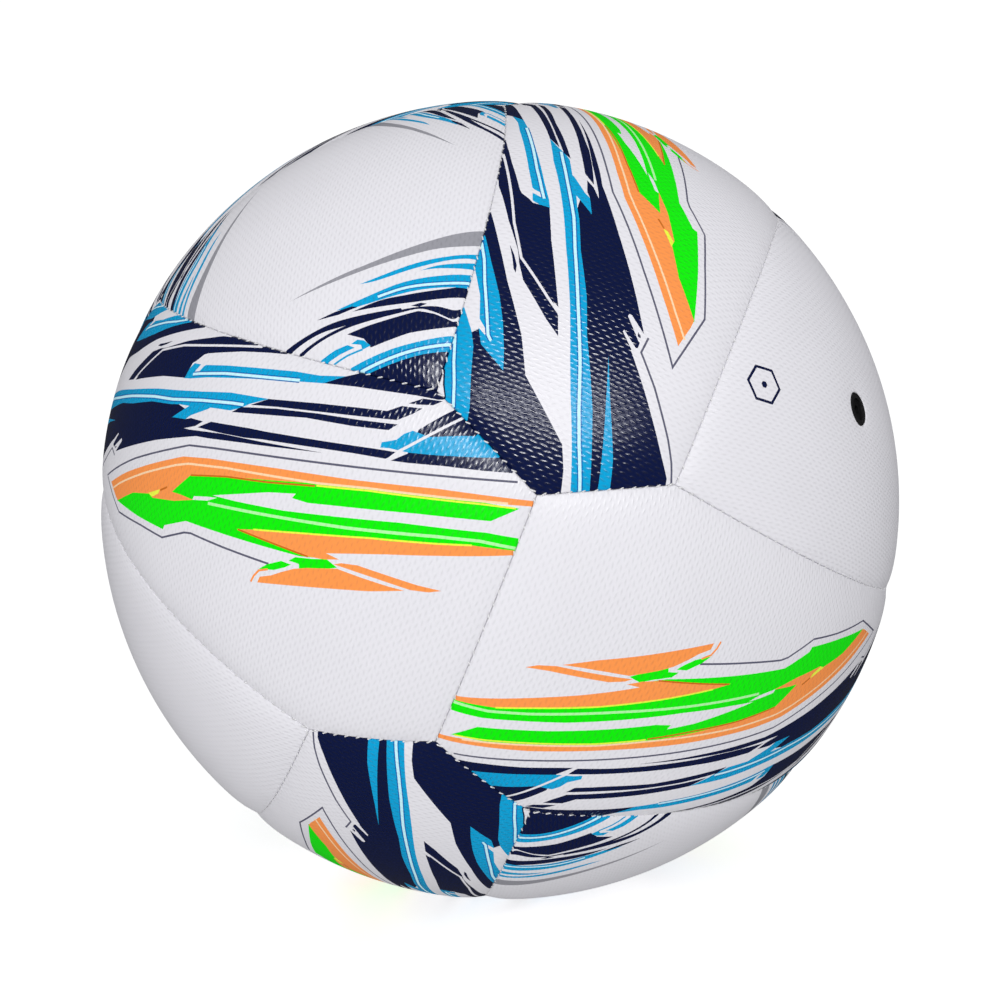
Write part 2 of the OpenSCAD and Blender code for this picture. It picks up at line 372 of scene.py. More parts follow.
def navy_block():
    """The broad navy block on the left with its two long tails, and the notches in its edge."""
    return [
        shape("navy", (-23.6, 50), (-22.6, 46.6), (-20, 43.3), (-12, 32), (-7.2, 25.6),
              (-8.4, 24.6), (-8.6, 21), (-4.9, 13.8), (2.35, 0), (8.6, -13), (9.7, -16.8),
              (12.7, -26), (14.1, -30.5), (18.6, -44.4), (14.7, -30), (12.1, -20), (8.9, -10.2),
              (8.4, -8.2), (10.2, -11.4), (12, -13.2), (11.1, -9.1), (10.2, -7.5), (12, -6.5),
              (11.8, 0), (5.4, 18.4), (1, 32), (-2.6, 40), (-8, 53), (-10, 60)),
        shape("navy", (10.3, -12.3), (12.9, -15.5), (13.4, -17.3), (15.9, -26), (16.9, -30),
              (20.8, -44), (23.5, -53.6), (24.8, -58.6), (22.7, -56.7), (21.2, -50.7),
              (19.3, -44), (15.2, -30), (13.8, -26), (12, -19.3)),
        shape("white", (-7.4, 25.6), (-4.6, 22.6), (-4.7, 22.1), (-8.1, 24.9)),
        shape("white", (-8.7, 23.5), (-8.1, 23.2), (-4.6, 18.9), (-4.7, 18.3), (-5.2, 18.3),
              (-8.8, 21.3)),
        shape("navy", (-8.3, 22.4), (-7.7, 22.3), (-7.5, 21.4), (-8.2, 21.9)),
    ]


def cyan_spike():
    return [
        shape("cyan", (-13, 54), (-12.4, 52), (-11, 47.4), (-6.3, 36.2), (-3.5, 28.7),
              (-5.8, 37), (-7.8, 44.1), (-9.3, 49.5), (-10.9, 55.5)),
    ]


def main_strip():
    """The long cyan strip with its side tooth and its pale middle line."""
    return [
        shape("cyan", (-10.3, 57.5), (-8.9, 54.1), (-6.9, 48.3), (-4, 39.9), (-0.9, 32.4),
              (1.7, 26.3), (4.2, 18.4), (8.4, 8), (10.75, 0), (12, -3.4), (13, -6.9),
              (8.7, -2.6), (10.2, -7.5), (11.5, -8.6), (14.7, -13), (15.3, -13.6), (17, -19.3),
              (18.6, -21.8), (20.2, -23.5), (22.9, -27.4), (20.2, -17.3), (17, -8.6),
              (14.05, 0), (11.5, 8), (9, 15), (6.6, 21.8), (3.2, 32.2), (0.9, 38.7),
              (-1.6, 45), (-3.3, 49.5), (-5.6, 55.8), (-6, 58)),
        *pale_line([(-7.8, 58), (-7.2, 55), (-4, 47.4), (-1.7, 41.2), (1.25, 32),
                    (5.2, 21), (9.6, 8), (11.9, 0), (15.6, -10.2), (18.4, -18.6),
                    (19.4, -22)], 0.62),
    ]


def upper_navy():
    """The navy block under the tip, down to the right-hand seam."""
    return [
        shape("navy", (-4.3, 60), (-4, 56.6), (-2.9, 52.8), (-1, 48.5), (10, 38.5),
              (13.3, 31.2), (19.8, 20.5), (24.6, 11.2), (29.3, 1.8), (31, 4), (28, 12),
              (23, 20), (20, 28), (21.5, 31), (22.7, 33.7), (26, 40), (26, 50), (14, 57),
              (0, 63)),
    ]


def right_strips():
    """The two cyan strips beside the right-hand seam."""
    return [
        shape("white", (21.5, 32.4), (22.7, 33.6), (27, 32), (30, 8), (28.2, 10.5), (24, 22)),
        shape("white", (22, 50.5), (22.4, 48.6), (24.2, 45.2), (25.5, 41.2), (26.4, 37),
              (26.9, 33.3), (29.5, 33.3), (29, 50)),
        shape("cyan", (16.6, 53), (17.1, 51), (17.7, 47.8), (19.6, 42), (21.25, 36.2),
              (22.7, 33.25), (25.8, 28.7), (27.8, 24.5), (29.5, 25), (29, 33.6), (26.7, 33.6),
              (26.2, 37), (25.2, 41.2), (23.8, 45.3), (22.1, 48.7), (21.6, 52)),
        *pale_line([(20.3, 51), (20.6, 49.1), (22.1, 44.5), (23.75, 40.3), (25.4, 35.3),
                    (26.4, 32.6)], 0.55),
        shape("cyan", (14.2, 39.1), (20, 35.4), (21.7, 32.1), (22.1, 30.3), (23.75, 25.3),
              (26.25, 20.5), (29.5, 14), (29.2, 9), (27.6, 10.4), (24.2, 17), (20, 24.5),
              (17.5, 29.9), (15.4, 35.3)),
        shape("white", (18.3, 34.4), (21.6, 32.2), (22.4, 31.6), (22.2, 30.2), (19.7, 32.6),
              (19.2, 33)),
        *pale_line([(18.5, 34.1), (19.4, 33.1), (21.7, 27.4), (23.9, 22), (25.8, 16.6),
                           (28.8, 10)], 0.55),
    ]


def middle_navy():
    """The navy spike, the block below it and its tail along the seam."""
    return [
        shape("navy", (6.8, 28.7), (10.1, 26.1), (16.9, 19.4), (18.8, 15.9), (20, 12.8),
              (24.2, 5.3), (27.5, -1.75), (29.2, -5.1), (30.2, -8.6), (33, -14), (34, -24),
              (32.6, -25.7), (31.1, -21.1), (28.6, -14.1), (24.5, -4.5), (23.8, -3.4),
              (21.8, -2), (20.9, -1.1), (17.3, -0.9), (14.6, 7.8), (10.1, 19.3), (8.7, 22.7),
              (10, 21.9), (8.2, 24.5)),
        line("white", [(8.1, 24.1), (11.2, 21.5), (17.5, 15.6), (18.9, 14.3), (22.9, 5.75),
                       (25.4, -1.5), (27.9, -8.4), (31.4, -18)], 0.55),
        shape("navy", (18.8, 18.2), (19.5, 17.4), (20.4, 15.2), (22, 11.8), (20.5, 13.9),
              (19.2, 16.3)),
    ]


def second_strip():
    """The second cyan strip, and the navy one that takes over from it."""
    return [
        shape("cyan", (17.1, -0.6), (19.3, -0.9), (21.1, -1.8), (21.8, -4.5), (20.6, -4.4),
              (22.2, -5.9), (24.5, -12.3), (27, -20), (30.2, -30), (31.6, -35.6), (33.9, -41.5),
              (30.6, -37.5), (28.7, -32), (24.3, -19.5), (20.2, -8.4), (17.9, -3)),
        shape("white", (19, -3.1), (21.8, -4.2), (22.3, -5.6), (20.4, -4.9)),
        *pale_line([(19, -3.2), (20, -5.5), (22.9, -13), (26.8, -25.2), (29, -32)], 0.6),
        shape("navy", (30.6, -37.4), (33.7, -41), (36, -44), (37.5, -50), (39.5, -58),
              (37.7, -62.6), (37, -61), (36, -56.5), (34.3, -50.2), (32.7, -44.2)),
    ]


def lower_stripes():
    """The pair of navy stripes below the main strip, and the splinters at their ends."""
    return [
        shape("navy", (16.9, -19.9), (18.7, -21.6), (19.4, -23.4), (21.9, -30.1),
              (24.9, -39.7), (27.3, -48.6), (29.5, -56), (27.8, -54.8), (25.6, -47.5),
              (23.1, -37.6), (20, -28.8)),
        shape("navy", (20.1, -23.8), (22.9, -27.4), (24.2, -31.3), (26.7, -38.8),
              (29.3, -47.1), (31, -52.8), (33, -55), (34.2, -59.1), (32.5, -57.8),
              (30.2, -55.5), (27.7, -47.5), (25.3, -39.7), (22.3, -30.1)),
        shape("navy", (34, -56), (36, -58.2), (37.1, -62), (35.6, -60.7), (34.5, -57.8)),
    ]


def lower_wedges():
    """The navy and cyan wedges that run into the lower right corner."""
    return [
        shape("navy", (22.8, -57.8), (25.3, -60.3), (30.2, -60.3), (34.5, -63.4), (36.5, -65),
              (39, -68), (33, -81), (29.6, -80.4), (27.9, -75), (25.8, -67.5), (23.7, -61)),
        shape("cyan", (24.2, -54.8), (25.2, -54.6), (26.8, -57.1), (28.4, -58), (29.6, -59.3),
              (29.8, -62.9), (32.5, -68.75), (33.4, -71), (35, -71.5), (32.3, -77),
              (31.3, -76.8), (29.6, -72.5), (27.1, -65.4), (25.5, -60.3), (24.8, -56.5)),
        line("white", [(22.4, -57), (25, -58.5), (26.8, -60), (30, -62.6), (33.7, -65.6),
                       (37.4, -68.6)], 0.55),
    ]


def green_bolt():
    return [
        shape("green", (-17.8, 13.3), (-15.8, 0.3), (-13.6, -11.2), (-12.5, -11.5),
              (-8.3, -18.2), (-4.6, -34.7), (-1.6, -48), (-0.6, -50.6), (3, -54), (8, -64.5),
              (13.5, -78), (16.9, -88.5), (19.1, -88.5), (17.5, -80), (12.9, -64.2),
              (7.8, -49.4), (4.9, -41), (1.7, -30), (0, -23.5), (6.7, -36.5), (9.1, -42.4),
              (8, -42), (8.6, -45.5), (11.2, -53), (15.8, -66.7), (19.8, -80), (23.9, -84.2),
              (22.3, -76.5), (17.3, -59.5), (12.9, -45), (9.6, -36), (5.6, -25), (2.8, -18.5),
              (1.2, -14.9), (-4.8, -10.9), (-8, -4), (-8.4, -2.5), (-11.5, 5), (-17.2, 13.6)),
        shape("white", (-3.4, -18.3), (-2.5, -18.5), (-0.9, -22.2), (0.1, -24.9), (-1.6, -22.6)),
        line("pale_green", [(-2, -23), (1.9, -36), (7.7, -55), (13.3, -71.7), (15.6, -79.5),
                            (17, -88)], 0.58),
        shape("green", (-8.2, -40.2), (-6.5, -41.6), (-4.3, -44.5), (-4, -46.8), (-5.2, -45.6),
              (-6.8, -43.5)),
        shape("green", (-3.5, -46), (-2.2, -47.1), (-0.9, -50.6), (0.4, -53.4), (-0.2, -56),
              (-2.9, -51.5), (-4, -48.7), (-3.1, -48.3)),
    ]


def orange_bolt():
    """The orange hook and strip round the green, and the two orange bolts."""
    return [
        shape("orange", (-16, 20.3), (-9.6, 10.3), (-2.1, -2.2), (3.3, -11.4), (6.3, -19.3),
              (11.9, -36.8), (16.6, -52.7), (21.6, -68.5), (26.8, -88.5), (25.8, -88.5),
              (22.5, -77.5), (16.1, -56), (12.5, -45), (5, -25.4), (2.2, -18.9),
              (0.8, -15.5), (-4.8, -11.3), (-4, -14.7), (-3.3, -18.6), (-6.3, -12.6),
              (-9.2, -4.7), (-9, -3), (-12.1, 4.5), (-17.7, 13), (-17.4, 15), (-16.7, 17.6)),
        shape("yellow", (-9, -2.6), (-6.3, -6.8), (-7.3, -6.7), (-9.1, -4.4)),
        line("dark_orange", [(-6.4, -7), (-4.7, -9.2)], 0.4),
        line("peach", [(-16.9, 18.3), (-13.75, 13.7), (-5.4, 0.3), (0.8, -10.1), (2.7, -13.8),
                       (6.5, -24.5), (12.8, -45.6), (16.3, -55.9), (22.7, -77.4), (24, -81.8)],
             0.45),
        line("dark_orange", [(0.9, -15.6), (2.3, -18.9), (5, -25.4), (8.4, -35.5),
                             (12.2, -45.6)], 0.36),
        line("yellow", [(12.4, -45.9), (15.9, -56.1), (22.2, -77.6), (23.7, -83.5)], 0.34),
        shape("orange", (-3.3, -32.3), (-1.6, -36), (1, -42.6), (2.8, -46.9), (6, -54.9),
              (9, -64), (11.7, -71.3), (14.2, -78), (16.8, -88.5), (16.2, -88.5), (6.3, -64),
              (3.7, -58), (1.4, -52.9), (1.45, -55.8), (0.1, -52.9), (-0.9, -49.4),
              (-2.1, -40.5)),
        line("dark_orange", [(-3.2, -32.6), (-2.1, -40.5), (-0.9, -49.6)], 0.36),
        line("yellow", [(-1.5, -36.2), (2.8, -46.9), (7.8, -59.8), (11.8, -71.5),
                        (14.3, -78.4)], 0.34),
        shape("orange", (-11, -40.7), (-9.6, -40.9), (-8.1, -43.3), (-6.5, -45.1),
              (-4.5, -47.6), (-3.1, -50.1), (-0.4, -56), (0.1, -61), (0.7, -66), (1.3, -69.8),
              (-1.7, -63.5), (-4.9, -55.5)),
        line("orange", [(-11.6, -39.2), (-10.1, -39.5), (-8.5, -40.3), (-7.3, -42.2)], 0.42),
        shape("orange", (0.1, -55.1), (1, -56.5), (2, -59.6), (2.6, -65), (3.3, -71.7),
              (4.1, -76.3), (2.9, -74.2), (1.9, -70.8), (1.2, -64), (0.5, -58)),
    ]


def long_print():
    """All that is printed on a long panel, the last on top."""
    parts = [bolt_outline, green_bolt, orange_bolt, upper_navy, right_strips, navy_block,
             cyan_spike, main_strip, second_strip, middle_navy, lower_stripes, lower_wedges]
    return [s for part in parts for s in part()]


def triangle_corner():
    """What is printed in each corner of a printed triangle; this corner points up."""
    return [
        shape("navy", (-1.5, 64), (1.5, 64), (15, 50), (11.7, 49), (7.5, 50), (3.3, 51),
              (-0.8, 52), (-5, 53.5), (-8, 54.5)),
        band("cyan", [(-7, 54.9), (-5, 54), (-0.8, 52.5), (5.4, 50.9), (14, 49)],
             [(-9.5, 52.6), (-7.9, 51.7), (-0.8, 49.6), (5.4, 48), (15.5, 46.2)]),
        *pale_line([(-8.5, 53.8), (-6.6, 53.1), (-0.8, 51.2), (5.4, 49.7), (14.6, 48)],
             0.62, curved=True),
        shape("navy", (-11, 50.8), (-9.2, 50.2), (-6.7, 49.4), (-0.8, 47.3), (7.1, 45.7),
              (7.5, 43.2), (10, 40.3), (5.4, 41.3), (-0.8, 43), (-4.6, 44), (-7.1, 46.1),
              (-9.6, 49.2), (-11.2, 49.6)),
        shape("cyan", (7, 45.3), (8.8, 45.1), (8.6, 44), (10.2, 42.6), (8.7, 42.6), (7.6, 43.6)),
        line("cyan", [(8.8, 45), (12, 44.2), (17, 43.6)], 0.4),
        shape("cyan", (10, 43.7), (13.3, 43), (19, 42.4), (20, 41), (13.6, 41.6), (11, 42.3)),
        band("navy", [(-12, 48.2), (-9.8, 48.7), (-7.4, 45.9), (-5, 43.7), (-0.8, 42.3),
                      (5.4, 40.3), (10, 39), (15.8, 38), (23.5, 37.6)],
             [(-12.6, 47.4), (-10.8, 47), (-8.3, 44.9), (-5, 43.2), (-0.8, 41.6),
              (5.4, 39.6), (10, 38.3), (15.8, 37.3), (23.8, 36.7)]),
        shape("navy", (-6.8, 43.4), (-5.2, 43.3), (-3.8, 42.2), (-5.8, 42.6)),
        band("navy", [(-1.9, 42), (3.3, 40.7), (10, 38.2), (15.8, 36.2), (25.5, 35)],
             [(-1.9, 41.6), (5.8, 38.3), (11.7, 36.1), (17.9, 34.8), (25.8, 33.6)]),
        band("navy", [(-15.5, 46), (-12.1, 44.6), (-5, 41.9), (3.3, 38.1), (6.9, 36.5)],
             [(-16.5, 43.2), (-12.1, 42.3), (-5, 39.8), (1, 37.6), (6.9, 36.5)]),
        band("cyan", [(-16.8, 44.4), (-12.1, 42), (-5, 39.2), (5.4, 36.2), (9.6, 34.1)],
             [(-18.5, 41.6), (-13.3, 39.4), (-5, 36.5), (3, 35.2), (9.6, 34.1)]),
        *pale_line([(-17.8, 43.4), (-12.1, 41), (-5, 38), (1, 36.6)], 0.6, curved=True),
        shape("navy", (5.5, 36.2), (9.6, 35.3), (14, 33.4), (10, 34.2), (6.5, 35.3)),
        band("cyan", [(-20.5, 41), (-17.3, 39.6), (-12.1, 37), (-9, 35.8)],
             [(-21.4, 39.6), (-17, 38), (-12.5, 36.4), (-9, 35.8)]),
        band("cyan", [(-22.5, 39.4), (-17.5, 37), (-9.2, 34.9), (-0.8, 33.1), (3, 31.6)],
             [(-23.3, 37.9), (-17.5, 36), (-9.2, 33.7), (-0.8, 32.3), (3, 31.6)]),
        band("grey", [(-24.5, 35.8), (-20, 34.6), (-13.3, 32.3), (-5, 30.3), (5, 28), (17, 25)],
             [(-26.5, 32.4), (-20, 30.9), (-10, 29.4), (-0.8, 28.1), (5, 27), (17, 25)]),
    ]


def turned(points, degrees):
    """Points turned clockwise about the triangle's middle."""
    c, s = math.cos(math.radians(degrees)), math.sin(math.radians(degrees))
    return points @ np.array([[c, -s], [s, c]])


def triangle_print():
    corners = triangle_corner()
    return [(ink, turned(p, a)) for a in (0, 120, 240) for ink, p in corners]


def hexagon(radius):
    return radius * np.array([[math.cos(a), math.sin(a)] for a in np.arange(6) * math.pi / 3])


def valve_mark():
    """A plain hexagon with a dot, where such balls have a small mark beside the valve."""
    at = np.array([12.8, 32.2])
    return [("navy", at + hexagon(4.5)), ("white", at + hexagon(3.8)), ("navy", at + hexagon(0.8))]


# ---- panel meshes ----


def area(ring):
    x, y = ring[:, 0], ring[:, 1]
    return (x * np.roll(y, -1) - y * np.roll(x, -1)).sum() / 2


def divided(ring, step):
    """The ring with its long edges cut up, counterclockwise."""
    ring = ring if area(ring) > 0 else ring[::-1]
    found = []
    for a, b in zip(ring, np.roll(ring, -1, axis=0)):
        count = max(1, math.ceil(np.linalg.norm(b - a) / step))
        found += [a + (b - a) * i / count for i in range(count)]
    return np.array(found)


def clear_of(points, rings, room):
    """Which points keep that far from every ring's edge."""
    keep = np.ones(len(points), bool)
    for ring in rings:
        near = (points > ring.min(0) - room).all(1) & (points < ring.max(0) + room).all(1) & keep
        which = np.nonzero(near)[0]
        if not len(which):
            continue
        a, ab = ring, np.roll(ring, -1, axis=0) - ring
        q = points[which][:, None]
        t = np.clip(((q - a) * ab).sum(2) / np.maximum((ab**2).sum(1), 1e-12), 0, 1)
        gap = np.linalg.norm(q - a - ab * t[..., None], axis=2).min(1)
        keep[which[gap < room]] = False
    return keep


def triangulate(loops, shapes, step):
    """Triangles inside loops[0] and outside the other loops, with the edges of all shapes in them.
    Returns places, triangles, the ink of each, and for each place its index in the joined loops."""
    low, high = loops[0].min(0), loops[0].max(0)
    rows = np.arange(low[1], high[1], step * math.sqrt(3) / 2)
    columns = np.arange(low[0], high[0], step)
    grid = np.array([(x + step / 2 * (i % 2), y) for i, y in enumerate(rows) for x in columns])
    grid = grid[clear_of(grid, loops, step * LOOP_ROOM)]
    drawn = [divided(p, SHAPE_STEP) for _, p in shapes]
    if drawn:
        grid = grid[clear_of(grid, drawn, step * SHAPE_ROOM)]
    points, faces = [], []
    for ring in loops + drawn:
        ring_start = len(points)
        faces.append(list(range(ring_start, ring_start + len(ring))))
        points += [Vector(p) for p in ring]
    rim_count = sum(len(ring) for ring in loops)
    points += [Vector(p) for p in grid]
    found = delaunay_2d_cdt(points, [], faces, 0, 1e-4, True)
    places = np.array([tuple(v) for v in found[0]])
    inks = [INK_NAMES.index(ink) for ink, _ in shapes]
    triangles, painted = [], []
    for tri, covers in zip(found[2], found[5]):
        holes = [k for k in covers if 0 < k < len(loops)]
        if 0 not in covers or holes:
            continue
        a, b, c = places[list(tri)]
        turn = (b[0] - a[0]) * (c[1] - a[1]) - (b[1] - a[1]) * (c[0] - a[0])
        triangles.append(tuple(tri) if turn > 0 else tuple(tri)[::-1])
        top = max(covers)
        painted.append(inks[top - len(loops)] if top >= len(loops) else 0)
    rim_of = {}
    for k, origins in enumerate(found[3]):
        for origin in origins:
            if origin < rim_count:
                rim_of[k] = origin
    return places, triangles, painted, rim_of


def border(triangles):
    """Each edge with a triangle on its left only, and that triangle's index."""
    owner = {}
    for k, (a, b, c) in enumerate(triangles):
        owner.update({(a, b): k, (b, c): k, (c, a): k})
    return {e: k for e, k in owner.items() if e[::-1] not in owner}


def chained(edges):
    """The edges as closed rings of places."""
    following, rings = dict(edges), []
    while following:
        ring = [next(iter(following))]
        while following[ring[-1]] != ring[0]:
            ring.append(following.pop(ring[-1]))
        following.pop(ring[-1])
        rings.append(ring)
    return rings


class Skin:
    """The closed mesh of one panel shape, in its own axes."""

    def __init__(self, outline, shapes, has_hole=False):
        self.outline, self.has_hole = outline, has_hole
        self.points = []
        self.bends = []
        self.flat = []
        self.faces = []
        self.inks = []
        loops = [outline.flat(outline.rim(SEAM_GAP + ROLL, RIM_STEP))]
        if has_hole:
            loops.append(self.hole_ring())
        places, triangles, painted, _ = triangulate(loops, shapes, GRID_STEP)
        p = outline.directions(places)
        top = outline.height(p, has_hole)
        bend = outline.normals(p, has_hole)
        self.add(p * top[:, None], bend, places)
        self.faces += triangles
        self.inks += painted
        edges = border(triangles)
        below = []
        for ring in chained(list(edges)):
            ink = [painted[edges[a, b]] for a, b in zip(ring, ring[1:] + ring[:1])]
            below.append(self.walls(ring, ink, p[ring], top[ring], bend[ring], places[ring]))
        self.underside(below)

    def hole_ring(self):
        a = np.arange(HOLE_SIDES) * math.tau / HOLE_SIDES
        return (HOLE_R + HOLE_ROLL) * np.stack([np.cos(a), np.sin(a)], 1)

    def add(self, points, bends, flat):
        start = len(self.points)
        self.points += list(points)
        self.bends += list(bends)
        self.flat += list(flat)
        return list(range(start, len(self.points)))

    def strip(self, upper, lower, inks):
        for k in range(len(upper)):
            n = (k + 1) % len(upper)
            self.faces.append((upper[n], upper[k], lower[k], lower[n]))
            self.inks.append(inks[k])

    def walls(self, ring, inks, p, top, bend, flat):
        """Rolls the edge over and carries it down. Returns the last row: its places and ids."""
        is_hole = self.has_hole and np.linalg.norm(flat, axis=1).max() < 2 * HOLE_R
        roll = HOLE_ROLL if is_hole else ROLL
        if is_hole:
            out = Z - p * p[:, 2:]
            out /= np.linalg.norm(out, axis=1)[:, None]
        else:
            out = self.outline.outward(p)
        facing = out / np.linalg.norm(out, axis=1)[:, None]
        row = ring
        for angle in np.arange(1, ROLL_ROWS + 1) * math.pi / 2 / ROLL_ROWS:
            q = p + out * roll * math.sin(angle) / BALL_R
            q /= np.linalg.norm(q, axis=1)[:, None]
            radius = top - roll * (1 - math.cos(angle))
            n = bend * math.cos(angle) + facing * math.sin(angle)
            stretch = flat * (1 + roll * angle / PANEL_REACH)
            lower = self.add(q * radius[:, None], n, stretch)
            self.strip(row, lower, inks)
            row = lower
        back = [BACK] * len(ring)
        if is_hole:
            lower = self.add(q * UNDERSIDE * 0.9999, facing - q, stretch)
            self.strip(row, lower, inks)
            return self.outline.flat(q), lower
        lower = self.add(q * WALL_LOW, facing - q, stretch)
        self.strip(row, lower, inks)
        inner = self.outline.middle + (self.outline.flat(q) - self.outline.middle) * (1 - FOLD_SHARE)
        inner_p = self.outline.directions(inner)
        row = self.add(inner_p * WALL_LOW, -facing - q, inner)
        self.strip(lower, row, back)
        last = self.add(inner_p * UNDERSIDE, -facing - q, inner)
        self.strip(row, last, back)
        return inner, last

    def underside(self, rows):
        """Closes the panel from below."""
        rows.sort(key=lambda r: -abs(area(r[0])))
        loops = [flat for flat, _ in rows]
        ids = [i for _, row in rows for i in row]
        if len(loops) > 1:
            loops[1] = loops[1][::-1]
            ids = rows[0][1] + rows[1][1][::-1]
        places, triangles, _, rim_of = triangulate(loops, [], UNDERSIDE_STEP)
        p = self.outline.directions(places)
        fresh = self.add(p * UNDERSIDE, -p, places)
        number = {k: ids[rim_of[k]] if k in rim_of else fresh[k] for k in range(len(places))}
        for a, b, c in triangles:
            self.faces.append((number[c], number[b], number[a]))
            self.inks.append(BACK)

    def tidied(self):
        """The mesh without the places that no face uses."""
        used = sorted({i for f in self.faces for i in f})
        number = {old: new for new, old in enumerate(used)}
        faces = [tuple(number[i] for i in f) for f in self.faces]
        return (np.array(self.points)[used], np.array(self.bends)[used], np.array(self.flat)[used],
                faces, self.inks)


# ---- materials ----


class Nodes:
    """Short calls for building a material's nodes."""

    def __init__(self, name):
        self.material = bpy.data.materials.new(name)
        self.material.use_nodes = True
        self.tree = self.material.node_tree
        self.shader = self.tree.nodes["Principled BSDF"]

    def node(self, kind, inputs=(), **settings):
        made = self.tree.nodes.new(kind)
        for key, value in settings.items():
            setattr(made, key, value)
        for socket, value in dict(inputs).items():
            self.put(made.inputs[socket], value)
        return made

    def put(self, socket, value):
        if isinstance(value, bpy.types.NodeSocket):
            self.tree.links.new(value, socket)
        else:
            socket.default_value = value

    def maths(self, operation, *values):
        made = self.node("ShaderNodeMath", operation=operation)
        for socket, value in zip(made.inputs, values):
            self.put(socket, value)
        return made.outputs[0]

    def between(self, share, low, high):
        """A number from low to high as share goes from 0 to 1."""
        return self.node("ShaderNodeMapRange",
                         {"Value": share, "To Min": low, "To Max": high}).outputs["Result"]

    def mixed(self, share, one, other):
        """A colour from one to other."""
        made = self.node("ShaderNodeMix", data_type="RGBA")
        self.put(made.inputs[0], share)
        self.put(made.inputs[6], one)
        self.put(made.inputs[7], other)
        return made.outputs[2]

    def place(self):
        return self.node("ShaderNodeTexCoord").outputs["Object"]

    def noise(self, scale, detail=3.0):
        return self.node("ShaderNodeTexNoise",
                         {"Vector": self.place(), "Scale": scale, "Detail": detail}).outputs["Fac"]

    def bump(self, height, distance):
        made = self.node("ShaderNodeBump", {"Height": height, "Distance": distance, "Strength": 1.0})
        self.put(self.shader.inputs["Normal"], made.outputs[0])

    def surface(self, **values):
        for key, value in values.items():
            self.put(self.shader.inputs[key.replace("_", " ")], value)
        return self.material


def rgba(colour, factor=1.0):
    return (*[min(1.0, c * factor) for c in colour], 1.0)


PANEL_MAP = "panel_mm"
WEAVE_PITCH, WEAVE_ROW = 2.1, 0.9  # the embossed dashes' spacing, mm
DASH_HALF_LENGTH, DASH_HALF_WIDTH = 0.62, 0.2
DASH_TILT = 0.12


def weave(n):
    """Height from 0 to 1 of the embossed lattice of short dashes, each row set off by half."""
    uv = n.node("ShaderNodeUVMap", uv_map=PANEL_MAP).outputs[0]
    parts = n.node("ShaderNodeSeparateXYZ", {0: uv})
    row = n.maths("DIVIDE", parts.outputs["Y"], WEAVE_ROW)
    index = n.maths("FLOOR", row)
    up = n.maths("MULTIPLY", n.maths("SUBTRACT", n.maths("FRACT", row), 0.5), WEAVE_ROW)
    half = n.maths("MULTIPLY", index, 0.5)
    column = n.maths("ADD", n.maths("DIVIDE", parts.outputs["X"], WEAVE_PITCH), half)
    along = n.maths("MULTIPLY", n.maths("SUBTRACT", n.maths("FRACT", column), 0.5), WEAVE_PITCH)
    side = n.maths("SUBTRACT", n.maths("MULTIPLY", n.maths("FRACT", half), 4.0), 1.0)
    lean = n.maths("MULTIPLY", n.maths("MULTIPLY", along, side), DASH_TILT)
    a = n.maths("POWER", n.maths("ABSOLUTE", n.maths("DIVIDE", along, DASH_HALF_LENGTH)), 2.0)
    b = n.maths("POWER", n.maths("ABSOLUTE",
                n.maths("DIVIDE", n.maths("ADD", up, lean), DASH_HALF_WIDTH)), 2.0)
    return n.maths("EXPONENT", n.maths("MULTIPLY", n.maths("ADD", a, b), -1.0))


def ink_material(name, colour, roughness, specular, painted_dash_shade):
    """Printed synthetic leather: a film of ink over the embossed weave and fine grain, its colour
    darkened in the dashes as painted shade of their relief.
    """
    n = Nodes("cover_" + name)
    dash = weave(n)
    grain = n.noise(2400, 2.0)
    cloud = n.noise(60, 3.0)
    # Painted shade: the embossed dashes are darkened in the base colour in place of their relief's
    # shading, and the cloud adds random mottling.
    painted_shade_and_mottle = n.maths("ADD", n.maths("MULTIPLY", dash, 0.75 * painted_dash_shade), n.maths("MULTIPLY", cloud, 0.2))
    uneven = n.between(n.noise(420, 2.0), 0.45, 1.35)
    lift = n.maths("ADD", n.maths("MULTIPLY", dash, uneven), n.maths("MULTIPLY", grain, 0.1))
    n.bump(lift, 0.00006)
    shine = n.maths("MULTIPLY", n.maths("POWER", dash, 0.6), specular)
    return n.surface(Base_Color=n.mixed(painted_shade_and_mottle, rgba(colour, 1.04), rgba(colour, 0.8)),
                     Roughness=n.between(grain, roughness, roughness + 0.12),
                     Specular_IOR_Level=n.maths("ADD", shine, 0.06))


def back_material():
    """The unprinted back of the synthetic leather: a pale knitted cloth."""
    n = Nodes("cover_back")
    loops = n.node("ShaderNodeTexVoronoi", {"Vector": n.place(), "Scale": 1100.0}).outputs["Distance"]
    n.bump(loops, 0.0001)
    return n.surface(Base_Color=n.mixed(loops, rgba(srgb(205, 203, 198)), rgba(srgb(178, 175, 168))),
                     Roughness=n.between(loops, 0.8, 0.95))


def thread_material():
    """Waxed polyester thread: twisted strands, a little glossy."""
    n = Nodes("waxed_thread")
    wave = n.node("ShaderNodeTexWave", {"Vector": n.place(), "Scale": 900.0, "Distortion": 1.5},
                  bands_direction="DIAGONAL").outputs["Fac"]
    n.bump(wave, 0.00006)
    return n.surface(Base_Color=n.mixed(wave, rgba(srgb(205, 204, 206)), rgba(srgb(238, 238, 240))),
                     Roughness=n.between(wave, 0.5, 0.38))


def foam_material():
    """Closed-cell backing foam, cream, with fine pores."""
    n = Nodes("backing_foam")
    cells = n.node("ShaderNodeTexVoronoi", {"Vector": n.place(), "Scale": 1500.0}).outputs["Distance"]
    n.bump(cells, 0.0002)
    return n.surface(Base_Color=n.mixed(cells, rgba(srgb(214, 200, 158)), rgba(srgb(242, 232, 200))),
                     Roughness=n.between(cells, 0.95, 0.75))


